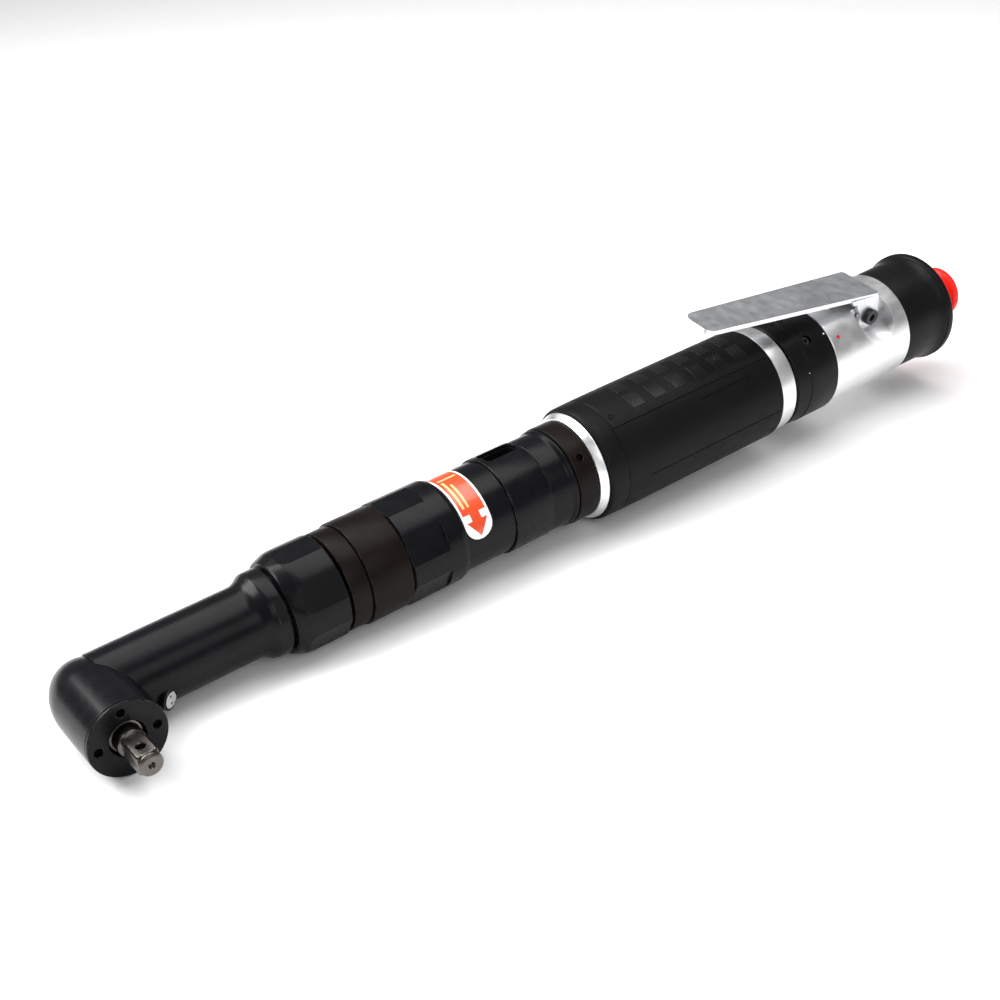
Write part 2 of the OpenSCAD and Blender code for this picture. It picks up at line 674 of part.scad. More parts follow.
angle_housing();
head_cap();
drive_spindle();
bevel_gear();
spindle_bearing();
spindle_bush();
bevel_pinion();
pinion_front_bearing();
pinion_rear_bearing();
bearing_spacer();
grease_screw();
lock_nut();
spacer_ring();
adapter_sleeve();
output_bearing();
driven_cam();
clutch_balls();
sliding_cam();
clutch_spring();
adjusting_nut();
clutch_shaft();
clutch_housing();
torque_label();
window_ring();
rear_collar();
lock_ring();
carrier_bearing();
planet_carrier();
planet_pins();
planet_gear(0);  // planet_gear_1
planet_gear(1);  // planet_gear_2
planet_gear(2);  // planet_gear_3
ring_gear();
rotor();
rotor_vanes();
motor_cylinder();
front_end_plate();
rear_end_plate();
front_rotor_bearing();
rear_rotor_bearing();
motor_housing();
rubber_grip();
reverse_ring();
reverse_screw();
reverse_valve();
valve_housing();
throttle_lever();
lever_screw();
valve_plunger();
valve_seat();
throttle_ball();
valve_spring();
valve_plug();
rear_cover();
silencer();
inlet_bushing();
inlet_screen();
dust_plug();
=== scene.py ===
"""Looks of the air angle nutrunner: detailed pieces, materials, light and camera.

Lengths are in mm, and to_object() scales each mesh to metres. Angles are in degrees.
"""

import json
import math

import bmesh
import bpy
from mathutils import Matrix, Vector


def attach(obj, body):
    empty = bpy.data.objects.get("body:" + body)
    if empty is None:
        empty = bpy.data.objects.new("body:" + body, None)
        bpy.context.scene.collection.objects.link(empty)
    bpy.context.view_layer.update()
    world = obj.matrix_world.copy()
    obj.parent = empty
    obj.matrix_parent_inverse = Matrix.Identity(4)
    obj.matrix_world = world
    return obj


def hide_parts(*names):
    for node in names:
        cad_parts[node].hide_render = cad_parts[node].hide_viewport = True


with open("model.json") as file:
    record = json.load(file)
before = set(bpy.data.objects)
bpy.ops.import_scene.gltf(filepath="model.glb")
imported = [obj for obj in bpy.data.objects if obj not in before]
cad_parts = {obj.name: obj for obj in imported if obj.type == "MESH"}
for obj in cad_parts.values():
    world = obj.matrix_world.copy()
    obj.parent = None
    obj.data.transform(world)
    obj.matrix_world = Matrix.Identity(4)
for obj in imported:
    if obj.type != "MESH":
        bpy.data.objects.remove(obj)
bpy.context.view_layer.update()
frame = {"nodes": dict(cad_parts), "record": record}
record = frame["record"]

AXIS_Y = 33.9          # tool axis, above the square's retainer hole
LEVER_ANGLE = 79       # middle of the lever, from the drive towards the top
FLAT_ANGLE = 28        # first of the six wrench flats
WINDOW_ANGLE = 99      # middle of the adjusting window
SCREW_ANGLE = 48.9     # screw in the reversing ring
HEAD_R = 11.45         # round head
CAP_HOLE_PCR = 8.4     # wrench holes in the head cap
LABEL_X = 122.7        # middle of the label, and half its width
LABEL_HALF = 4.9
DRUM_R = 15.4          # round seat of the label
LEVER_PIVOT = (300, 13.7)   # station and height of the lever's pivot
LEVER_SLOPE = 9.6
LEVER_T = 1.6


# ---------- places ----------

def on_tool(x, r, angle):
    """A point at station x, radius r, at an angle from the drive (-Y) towards the top (+Z)."""
    a = math.radians(angle)
    return Vector((x, AXIS_Y - r * math.cos(a), r * math.sin(a)))


def on_drive(t, r, angle):
    """A point t below the tool axis along the drive, at radius r, at an angle from +X towards +Z."""
    a = math.radians(angle)
    return Vector((r * math.cos(a), AXIS_Y - t, r * math.sin(a)))


def on_lever(x, lat, h):
    """A point in the lever's own frame: lat runs across the lever, h out through its middle."""
    a = math.radians(90 - LEVER_ANGLE)
    return Vector((x, AXIS_Y + lat * math.cos(a) - h * math.sin(a), lat * math.sin(a) + h * math.cos(a)))


def outward(angle):
    """The direction away from the tool axis at an angle."""
    return on_tool(0, 1, angle) - on_tool(0, 0, 0)


def tangent_place(angle):
    """Places (station, across, height) on the flat that touches the tool at an angle."""
    return lambda x, lat, rad: on_tool(x, rad, angle) + on_tool(0, lat, angle + 90) - on_tool(0, 0, 0)


# ---------- meshes ----------

def to_object(bm, name, bevel=0.0, sharp=32, segments=2):
    """Cleans a bmesh and makes it a smooth-shaded object in metres, with its sharp edges marked."""
    bmesh.ops.remove_doubles(bm, verts=bm.verts, dist=1e-4)
    bmesh.ops.dissolve_degenerate(bm, edges=bm.edges, dist=1e-4)
    bmesh.ops.delete(bm, geom=[e for e in bm.edges if not e.link_faces], context="EDGES")
    bmesh.ops.recalc_face_normals(bm, faces=bm.faces)
    bmesh.ops.scale(bm, vec=(0.001,) * 3, verts=bm.verts)
    mesh = bpy.data.meshes.new(name)
    bm.to_mesh(mesh)
    bm.free()
    obj = bpy.data.objects.new(name, mesh)
    bpy.context.scene.collection.objects.link(obj)
    mesh.shade_smooth()
    mesh.set_sharp_from_angle(angle=math.radians(sharp))
    if bevel:
        m = obj.modifiers.new("bevel", "BEVEL")
        m.width = bevel * 0.001
        m.segments = segments
        m.limit_method = "ANGLE"
        m.angle_limit = math.radians(sharp)
        m.harden_normals = True
    return obj


def rounded(points, default=0.25, steps=3):
    """Fillets the corners of a closed outline of (x, r) or (x, r, fillet)."""
    out = []
    n = len(points)
    for i, p in enumerate(points):
        radius = p[2] if len(p) > 2 else default
        here = Vector(p[:2])
        a = Vector(points[i - 1][:2]) - here
        b = Vector(points[(i + 1) % n][:2]) - here
        if radius <= 0 or a.length < 1e-6 or b.length < 1e-6 or here.y < 1e-6:
            out.append(here)
            continue
        cut = min(radius, a.length * 0.45, b.length * 0.45)
        p0, p1 = here + a.normalized() * cut, here + b.normalized() * cut
        for k in range(steps + 1):
            u = k / steps
            out.append(p0 * (1 - u) ** 2 + here * 2 * u * (1 - u) + p1 * u ** 2)
    return out


def skin(bm, rings, closed=True):
    """Joins rings of points into quads; closed joins the last ring to the first."""
    rows = [[bm.verts.new(p) for p in ring] for ring in rings]
    n = len(rows[0])
    last = len(rows) if closed else len(rows) - 1
    for i in range(last):
        a, b = rows[i], rows[(i + 1) % len(rows)]
        for j in range(n):
            bm.faces.new((a[j], a[(j + 1) % n], b[(j + 1) % n], b[j]))
    return rows


def revolve(name, outline, place=on_tool, segs=128, fillet=0.25):
    """Turns a closed outline of (x, r) or (x, r, fillet) round an axis."""
    bm = bmesh.new()
    angles = [360 * j / segs for j in range(segs)]
    skin(bm, [[place(x, r, a) for a in angles] for x, r in rounded(outline, fillet)])
    return to_object(bm, name)


def faceted(name, stations, flat, reach, bore, bevel):
    """A sleeve with six wrench flats. stations: (x, r, has_flats); reach sets the grid's flat width."""
    per_flat, per_round = 8, 14
    bm = bmesh.new()
    grid = math.degrees(math.acos(flat / reach))

    def ring(x, r, has):
        half = (math.degrees(math.acos(flat / r)) if flat < r else 0) if has else grid
        pts = []
        for k in range(6):
            c = FLAT_ANGLE + 60 * k
            for j in range(per_flat):
                d = -half + 2 * half * j / per_flat
                rr = min(r, flat / math.cos(math.radians(d))) if has else r
                pts.append(on_tool(x, rr, c + d))
            for j in range(per_round):
                pts.append(on_tool(x, r, c + half + (60 - 2 * half) * j / per_round))
        return pts

    rings = [ring(*s) for s in stations]
    rings += [ring(stations[-1][0], bore, False), ring(stations[0][0], bore, False)]
    skin(bm, rings)
    return to_object(bm, name, bevel, 11)


def rod(base, direction, r, length, segs=40, r_end=None):
    """A closed round or polygonal rod, as a bmesh; a cutter or a piece."""
    bm = bmesh.new()
    d = Vector(direction).normalized()
    side = d.orthogonal().normalized()
    other = d.cross(side)
    ends = []
    for s, rr in ((0, r), (length, r if r_end is None else r_end)):
        ends.append([bm.verts.new(Vector(base) + d * s + (side * math.cos(a) + other * math.sin(a)) * rr)
                     for a in (2 * math.pi * j / segs for j in range(segs))])
    for j in range(segs):
        bm.faces.new((ends[0][j], ends[0][(j + 1) % segs], ends[1][(j + 1) % segs], ends[1][j]))
    bm.faces.new(ends[0])
    bm.faces.new(ends[1])
    return bm


def block(place, x, y, z):
    """A closed box between the ranges x, y, z, each point put through place."""
    bm = bmesh.new()
    v = [bm.verts.new(place(a, b, c)) for a in x for b in y for c in z]
    for f in ((0, 1, 3, 2), (4, 6, 7, 5), (0, 4, 5, 1), (2, 3, 7, 6), (0, 2, 6, 4), (1, 5, 7, 3)):
        bm.faces.new([v[i] for i in f])
    return bm


def slab(place, outline, z0, z1):
    """A flat outline of (x, y), drawn from z0 to z1."""
    bm = bmesh.new()
    low = [bm.verts.new(place(x, y, z0)) for x, y in outline]
    top = [bm.verts.new(place(x, y, z1)) for x, y in outline]
    n = len(outline)
    for j in range(n):
        bm.faces.new((low[j], low[(j + 1) % n], top[(j + 1) % n], top[j]))
    bm.faces.new(low)
    bm.faces.new(top)
    return bm


def combine(obj, bm, operation="DIFFERENCE", sharp=30):
    """Cuts a bmesh out of an object, or joins it on, and keeps the bevel last."""
    tool = to_object(bm, "cutter")
    m = obj.modifiers.new("bool", "BOOLEAN")
    m.operation, m.object, m.solver = operation, tool, "EXACT"
    while obj.modifiers[0] != m:
        obj.modifiers.move(obj.modifiers.find(m.name), 0)
    others = [(o.name, o.show_viewport) for o in obj.modifiers if o != m]
    for name, _ in others:
        obj.modifiers[name].show_viewport = False
    mesh = bpy.data.meshes.new_from_object(obj.evaluated_get(bpy.context.evaluated_depsgraph_get()))
    obj.modifiers.remove(m)
    for name, shown in others:
        obj.modifiers[name].show_viewport = shown
    old = obj.data
    obj.data = mesh
    bpy.data.meshes.remove(old)
    bpy.data.objects.remove(tool)
    mesh.shade_smooth()
    mesh.set_sharp_from_angle(angle=math.radians(sharp))


def edge_bevel(obj, width, angle=40, segments=2):
    """Rounds the edges sharper than an angle."""
    m = obj.modifiers.new("bevel", "BEVEL")
    m.width, m.segments = width * 0.001, segments
    m.limit_method, m.angle_limit = "ANGLE", math.radians(angle)


def curved_patch(name, x0, x1, a0, a1, r0, r1, steps=24, bevel=0.0):
    """A thin curved plate between two radii."""
    bm = bmesh.new()
    angles = [a0 + (a1 - a0) * j / steps for j in range(steps + 1)]
    loop = [(x0, a) for a in angles] + [(x1, a) for a in reversed(angles)]
    low = [bm.verts.new(on_tool(x, r0, a)) for x, a in loop]
    top = [bm.verts.new(on_tool(x, r1, a)) for x, a in loop]
    n, m = len(loop), steps + 1
    for row, up in ((low, 1), (top, -1)):
        for j in range(steps):
            bm.faces.new((row[j], row[j + 1], row[n - 2 - j], row[n - 1 - j])[::up])
    for j in range(n):
        bm.faces.new((low[j], low[(j + 1) % n], top[(j + 1) % n], top[j]))
    return to_object(bm, name, bevel)


# ---------- materials ----------

def material(name, color, rough, metallic=0.0, spec=0.5, vary=0.12, grain=900, bump=0.012, turned=False,
             wear=0.0, coat=0.0, dark=(0.5, 0.5, 0.5)):
    """Surface with uneven colour and roughness, a fine grain or turning marks, and worn edges.

    grain is per metre, bump in mm, and dark the colour that shows where an edge is worn.
    """
    mat = bpy.data.materials.new(name)
    mat.use_nodes = True
    nt = mat.node_tree
    nodes, links = nt.nodes, nt.links
    shader = nodes["Principled BSDF"]
    shader.inputs["Metallic"].default_value = metallic
    shader.inputs["Specular IOR Level"].default_value = spec
    shader.inputs["Coat Weight"].default_value = coat
    coords = nodes.new("ShaderNodeNewGeometry")

    def noise(scale, detail=4, stretch=None):
        n = nodes.new("ShaderNodeTexNoise")
        n.inputs["Scale"].default_value = scale
        n.inputs["Detail"].default_value = detail
        if stretch:
            mul = nodes.new("ShaderNodeVectorMath")
            mul.operation = "MULTIPLY"
            mul.inputs[1].default_value = stretch
            links.new(coords.outputs["Position"], mul.inputs[0])
            links.new(mul.outputs[0], n.inputs["Vector"])
        else:
            links.new(coords.outputs["Position"], n.inputs["Vector"])
        return n.outputs["Fac"]

    def mix(a, b, fac):
        m = nodes.new("ShaderNodeMix")
        m.data_type = "RGBA"
        for sock, v in ((m.inputs[6], a), (m.inputs[7], b)):
            if isinstance(v, tuple):
                sock.default_value = (*v, 1)
            else:
                links.new(v, sock)
        links.new(fac, m.inputs[0])
        return m.outputs[2]

    def ramp(fac, a, b, lo=0.3, hi=0.7):
        m = nodes.new("ShaderNodeMapRange")
        m.inputs["From Min"].default_value, m.inputs["From Max"].default_value = lo, hi
        m.inputs["To Min"].default_value, m.inputs["To Max"].default_value = a, b
        links.new(fac, m.inputs["Value"])
        return m.outputs["Result"]

    light = tuple(min(1, c * (1 + vary)) for c in color)
    deep = tuple(c * (1 - vary) for c in color)
    base = mix(deep, light, ramp(noise(70, 5), 0, 1))
    rough_out = ramp(noise(260, 6), rough * 0.85, rough * 1.15)
    if wear:
        soft = nodes.new("ShaderNodeBevel")
        soft.samples = 4
        soft.inputs["Radius"].default_value = 0.00025
        dot = nodes.new("ShaderNodeVectorMath")
        dot.operation = "DOT_PRODUCT"
        links.new(soft.outputs["Normal"], dot.inputs[0])
        links.new(coords.outputs["Normal"], dot.inputs[1])
        edge = ramp(dot.outputs["Value"], wear, 0, 0.93, 0.995)
        mask = nodes.new("ShaderNodeMath")
        mask.operation = "MULTIPLY"
        links.new(edge, mask.inputs[0])
        links.new(ramp(noise(500, 3), 0, 1, 0.4, 0.62), mask.inputs[1])
        base = mix(base, dark, mask.outputs[0])
    links.new(base, shader.inputs["Base Color"])
    links.new(rough_out, shader.inputs["Roughness"])
    b = nodes.new("ShaderNodeBump")
    b.inputs["Strength"].default_value = 0.55
    b.inputs["Distance"].default_value = bump * 0.001
    links.new(noise(2000, 3, (1.0, 0.04, 0.04)) if turned else noise(grain, 4), b.inputs["Height"])
    links.new(b.outputs["Normal"], shader.inputs["Normal"])
    return mat


STEEL_GREY = (0.16, 0.155, 0.15)
MATERIALS = {name: material(name, *fixed, **more) for name, fixed, more in (
    ("black_steel", ((0.0035, 0.0037, 0.0046), 0.27, 0.0, 0.13, 0.25, 1400, 0.008),
     dict(wear=0.35, dark=STEEL_GREY)),
    ("brown_steel", ((0.0068, 0.0045, 0.0036), 0.36, 0.0, 0.08, 0.25, 1400, 0.01),
     dict(wear=0.25, dark=STEEL_GREY)),
    ("black_anodised", ((0.0045, 0.0045, 0.005), 0.38, 0.0, 0.12, 0.25, 1400, 0.01),
     dict(wear=0.2, dark=STEEL_GREY)),
    ("bare_steel", ((0.1, 0.09, 0.082), 0.3, 1.0, 0.5, 0.25, 1200, 0.02),
     dict(wear=0.6, dark=(0.6, 0.57, 0.53))),
    ("gear_steel", ((0.4, 0.39, 0.38), 0.35, 1.0), dict()),
    ("bearing_steel", ((0.72, 0.71, 0.69), 0.18, 1.0), dict(vary=0.06)),
    ("spring_steel", ((0.35, 0.36, 0.38), 0.3, 1.0), dict()),
    ("bronze", ((0.5, 0.36, 0.18), 0.35, 1.0), dict()),
    ("bright_aluminium", ((0.9, 0.9, 0.905), 0.38, 1.0), dict(vary=0.04, turned=True, bump=0.004)),
    ("zinc_sheet", ((0.8, 0.815, 0.83), 0.36, 1.0),
     dict(vary=0.08, grain=1500, bump=0.01, wear=0.4, dark=(0.85, 0.86, 0.88))),
    ("grip_rubber", ((0.0045, 0.0045, 0.005), 0.46, 0.0, 0.1, 0.15, 2600, 0.02), dict()),
    ("vane_fibre", ((0.28, 0.17, 0.08), 0.6), dict()),
    ("label_print", ((0.68, 0.062, 0.012), 0.28, 0.0, 0.5, 0.06, 600, 0.004), dict(coat=0.4)),
    ("plug_red", ((0.85, 0.012, 0.006), 0.38, 0.0, 0.25, 0.1, 900, 0.01), dict()),
    ("screw_black", ((0.012, 0.012, 0.013), 0.3, 0.0, 0.5), dict(wear=0.4, dark=STEEL_GREY)),
    ("silencer_felt", ((0.3, 0.28, 0.24), 0.9), dict(bump=0.05)),
    ("grip_pad", ((0.006, 0.006, 0.0065), 0.3, 0.0, 0.2, 0.15, 2600, 0.02), dict()),
    ("white_film", ((0.85, 0.85, 0.84), 0.3), dict(vary=0.03, coat=0.3)),
    ("red_paint", ((0.55, 0.01, 0.01), 0.4), dict()),
    ("pale_print", ((0.85, 0.5, 0.2), 0.35), dict(vary=0.03)),
)}


def dress(obj, slot, body, *nodes, look=None):
    """Gives a piece the material of its slot, or of look where one is given, puts it on the body it rides
    on, and hides the CAD nodes it stands for.
    """
    obj.data.materials.clear()
    obj.data.materials.append(MATERIALS[look or slot])
    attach(obj, body)
    if nodes:
        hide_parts(*nodes)
    return obj


for part in record["subparts"]:
    node = frame["nodes"][part["node"]]
    node.data.materials.clear()
    node.data.materials.append(MATERIALS[part["material_slot"]])


# ---------- angle head ----------

def make_head():
    """Round head with its neck and collar, the front cap and the grease screw."""
    dome = [(4 - 15.3 * math.sin(a), 3 + 8.45 * math.cos(a), 0)
            for a in (math.pi / 2 * k / 22 for k in range(22, -1, -1))]
    barrel = [(t, HEAD_R, 0) for t in (8, 12, 16, 20)]
    inside = [(23.65, HEAD_R, 0.2), (23.65, 10.25, 0.1), (17.9, 10.25, 0), (17.9, 9.4, 0), (-3, 9.4, 0),
              (-3, 5.65, 0), (-7.6, 5.65, 0), (-7.6, 0, 0)]
    head = revolve("head_barrel", [(-11.3, 0, 0)] + dome + barrel + inside, on_drive, 144)
    neck = bmesh.new()
    shape = [(3, 0, 0)] + [(x, 11.3, 0) for x in range(3, 44, 5)]
    shape += [(49.1, 11.3, 4), (52.3, 13.4, 0.8), (56.7, 13.5, 0.35), (56.8, 12, 0), (84, 12, 0.2),
              (84, 0, 0)]
    angles = [360 * j / 144 for j in range(144)]
    skin(neck, [[on_tool(x, r, a) for a in angles] for x, r in rounded(shape, 0.25, 5)])
    combine(head, neck, "UNION")
    n = Vector((0.5, -0.86, -0.1)).normalized()
    port = Vector((17.9, AXIS_Y - 11, -5.1))
    combine(head, rod(port - n * 6, n, 3.35, 5.9, 48, 3.2), "UNION")
    combine(head, rod(on_tool(7, 0, 0), (1, 0, 0), 8.15, 70, 64))
    combine(head, rod(on_tool(60, 0, 0), (1, 0, 0), 10.4, 30, 64))
    combine(head, rod(on_drive(-2.9, 0, 0), (0, -1, 0), 9.4, 20.7, 96))
    combine(head, rod(port - n * 1.6, n, 2.55, 3, 48))
    for a in (28.5, 208.5):
        combine(head, block(tangent_place(a), (53.6, 60), (-9, 9), (13.0, 16)), sharp=11)
    edge_bevel(head, 0.12, 26)
    dress(head, "black_steel", "housing", "angle_housing")

    cap = revolve("head_front_cap", [
        (18.5, 5.3), (18.5, 10.1), (23.9, 10.1, 0), (23.9, HEAD_R, 0.2), (24.9, HEAD_R, 0.4),
        (24.9, 5.3, 0.35),
    ], on_drive)
    for k in range(4):
        combine(cap, rod(on_drive(22.6, CAP_HOLE_PCR, 90 * k), (0, -1, 0), 1.25, 4))
        combine(cap, rod(on_drive(24.65, CAP_HOLE_PCR, 90 * k), (0, -1, 0), 1.25, 0.5, r_end=1.7))
    edge_bevel(cap, 0.08)
    dress(cap, "black_steel", "housing", "head_cap")

    screw = to_object(rod(port - n * 1.5, n, 2.4, 1.65, 48), "grease_plug_screw", 0.15)
    side = n.cross(Vector((0, 0, 1))).normalized()
    up = side.cross(n)
    for s in (-1, 1):
        combine(screw, rod(port + up * s * 1.15 - n * 0.7, n, 0.42, 2, 24))
    dress(screw, "bearing_steel", "housing", "grease_screw")


def make_spindle():
    """Shaft, square with its retainer hole, and nose."""
    shaft = [(-7.4, 0), (-7.4, 3), (9.3, 3), (9.3, 4), (17.05, 4), (17.05, 4.85), (23.5, 4.85, 0.45),
             (23.5, 4.1, 0.2), (27.6, 4.1, 0.3), (28.0, 3.4, 0), (28.0, 0)]
    body = revolve("output_spindle_body", shaft, on_drive, 64)
    bm = bmesh.new()
    # the square, its corners turned down to r 4.15 and chamfered at both ends
    half, corner, start, end = 3.175, 4.15, 27.3, 37.8
    edge = math.degrees(math.acos(half / corner))
    angles = [90 * k + d for k in range(4) for d in
              [-edge + edge / 3 * j for j in range(6)] + [edge + (90 - 2 * edge) / 3 * j for j in range(3)]]
    rings = []
    for t, limit in ((start, 3.15), (27.9, 3.6), (28.4, corner), (37.1, corner), (37.5, 3.85), (end, 3.4)):
        ring = []
        for a in angles:
            d = (a + 45) % 90 - 45
            ring.append(on_drive(t, min(limit, half / math.cos(math.radians(d))), a))
        rings.append(ring)
    rings.append([on_drive(end, 0, 0)] * len(angles))
    rings.append([on_drive(start, 0, 0)] * len(angles))
    skin(bm, rings)
    combine(body, bm, "UNION")
    nose = bmesh.new()
    shape = [(37.6, 0, 0), (37.6, 3, 0), (38.05, 3, 0.1), (38.2, 3.45, 0.2), (38.9, 3.45, 0.35),
             (39.35, 2.6, 0.1), (39.35, 1.05, 0.05), (38.4, 0.5, 0), (38.0, 0, 0)]
    angles = [360 * j / 64 for j in range(64)]
    skin(nose, [[on_drive(t, r, a) for a in angles] for t, r in rounded(shape, 0.2)])
    combine(body, nose, "UNION")
    combine(body, rod((0, 0, -6), (0, 0, 1), 1.3, 12, 40))
    combine(body, rod((0, 0, 2.85), (0, 0, 1), 1.3, 0.5, 40, 1.65), sharp=22)
    edge_bevel(body, 0.1, 22)
    dress(body, "bare_steel", "output_spindle", "drive_spindle")


# ---------- sleeves ----------

def make_sleeves():
    """Everything between the collar and the grip, from the lock nut to the lock ring."""
    flats = [(57.7, 13.8), (57.75, 14.3), (58.3, 14.75), (61.1, 15.85), (62.4, 16.1), (63.8, 16.2),
             (74.5, 16.2), (74.9, 15.9)]
    nut = faceted("lock_nut_body", [(x, r, True) for x, r in flats], 15.6, 16.2, 12.06, 0.12)
    dress(nut, "black_steel", "housing", "lock_nut")
    ring = revolve("spacer_ring_body", [
        (76, 12.06), (76, 15.8, 0.35), (82.3, 15.85, 0.4), (82.3, 12.06),
    ])
    dress(ring, "brown_steel", "housing", "spacer_ring")
    sleeve = revolve("adapter_sleeve_body", [
        (82.6, 12.06), (82.6, 16.5, 0.45), (96.6, 16.5, 0.4), (96.6, 13.05), (84.2, 13.05),
        (84.2, 12.06),
    ])
    dress(sleeve, "brown_steel", "housing", "adapter_sleeve")

    flats = [(96.95, 16.1), (97.3, 16.8), (98.0, 16.85), (110.3, 16.85)]
    plain = [(110.3, 16.85), (115.6, 16.85), (116.9, 16.5), (117.35, 15.5), (117.6, DRUM_R), (135.4, DRUM_R),
             (135.45, 14.8), (155.8, 14.8), (156, 14.6)]
    stations = [(x, r, True) for x, r in flats] + [(x, r, False) for x, r in plain]
    clutch = faceted("clutch_housing_body", stations, 16.05, 16.85, 12.6, 0.15)
    window = window_outline()
    combine(clutch, slab(tangent_place(WINDOW_ANGLE), window, 10, 20))
    dress(clutch, "black_steel", "housing", "clutch_housing")
    wring = revolve("window_ring_body", [
        (135.65, 14.9), (135.65, 16.05, 0.4), (136.2, 16.1, 0.2), (150.55, 16.1, 0.35), (150.55, 14.9),
    ], segs=160)
    combine(wring, slab(tangent_place(WINDOW_ANGLE), window, 12, 20))
    edge_bevel(wring, 0.15)
    dress(wring, "black_steel", "window_sleeve", "window_ring")

    collar = revolve("rear_collar_body", [
        (150.75, 14.86), (150.75, 15.75, 0.3), (158.3, 15.8, 0.5), (159.4, 16.5, 0.3),
        (160.1, 16.5, 0.25), (160.45, 16.1, 0.15), (160.45, 14.86),
    ])
    dress(collar, "black_steel", "housing", "rear_collar")
    lock = revolve("lock_ring_body", [
        (160.65, 14.4), (160.65, 16.6, 0.3), (161.2, 16.75, 0.3), (168.25, 16.75, 0.3), (168.25, 14.4),
    ])
    for k in range(3):
        a = 40.5 + 120 * k
        combine(lock, rod(on_tool(164.3, 15, a), outward(a), 1.35, 4))
        combine(lock, rod(on_tool(164.3, 16.55, a), outward(a), 1.35, 0.5, r_end=1.75))
    dress(lock, "brown_steel", "housing", "lock_ring")


def window_outline():
    """Rounded slot of the adjusting window, as (station, across)."""
    out = []
    x0, x1, side, rad = 137.2, 149.4, 3.7, 1.5
    for cx, cy, start in ((x1 - rad, side - rad, 0), (x0 + rad, side - rad, 90),
                          (x0 + rad, rad - side, 180), (x1 - rad, rad - side, 270)):
        for k in range(7):
            a = math.radians(start + 15 * k)
            out.append((cx + rad * math.cos(a), cy + rad * math.sin(a)))
    return out


def make_label():
    """A white film under an orange panel, with plain bars and an arrowhead for the print."""
    a_end, tip, steps = 116, 4 + math.degrees(LABEL_HALF / DRUM_R), 28
    angles = [a_end - (a_end - tip) * j / steps for j in range(steps + 1)]
    loop = [(LABEL_X - LABEL_HALF, a) for a in angles]
    for k in range(1, 12):
        b = math.pi * k / 12
        loop.append((LABEL_X - LABEL_HALF * math.cos(b),
                     tip - math.degrees(LABEL_HALF * math.sin(b) / DRUM_R)))
    loop += [(LABEL_X + LABEL_HALF, tip + (a_end - tip) * j / steps) for j in range(steps + 1)]
    # strips across, so that the film follows the round seat
    bm = bmesh.new()
    m = len(loop)
    low = [bm.verts.new(on_tool(x, 15.42, a)) for x, a in loop]
    top = [bm.verts.new(on_tool(x, 15.48, a)) for x, a in loop]
    for j in range((m - 1) // 2):
        for row in (low, top):
            bm.faces.new(list(dict.fromkeys((row[j], row[j + 1], row[m - 2 - j], row[m - 1 - j]))))
    for j in range(m):
        bm.faces.new((low[j], low[(j + 1) % m], top[(j + 1) % m], top[j]))
    base = to_object(bm, "label_film")
    dress(base, "label_print", "housing", "torque_label", look="white_film")
    panel = curved_patch("label_panel", 118.55, 126.85, 36, 115, 15.42, 15.51)
    dress(panel, "label_print", "housing")
    bars = ((119.6, 120.5, 44, 88), (121.4, 122.2, 44, 80), (119.4, 126, 92, 95))
    for i, (x0, x1, a0, a1) in enumerate(bars):
        bar = curved_patch(f"label_bar_{i + 1}", x0, x1, a0, a1, 15.5, 15.53, steps=12)
        dress(bar, "label_print", "housing", look="pale_print")
    # the arrow in short rows, so that it follows the round film: (angle, half width)
    bm = bmesh.new()
    widths = [(8 + 19 * k / 13, 0.05 + 3.65 * k / 13) for k in range(14)]
    widths += [(27.05 + 10.95 * k / 8, 1.7) for k in range(9)]
    section = ((-1, 15.44), (1, 15.44), (1, 15.52), (-1, 15.52))
    rings = [[bm.verts.new(on_tool(LABEL_X + side * half, r, a)) for side, r in section]
             for a, half in widths]
    for one, two in zip(rings, rings[1:]):
        for k in range(4):
            bm.faces.new((one[k], one[(k + 1) % 4], two[(k + 1) % 4], two[k]))
    bm.faces.new(rings[0])
    bm.faces.new(rings[-1])
    dress(to_object(bm, "label_arrow"), "label_print", "housing")


# ---------- grip and motor housing ----------

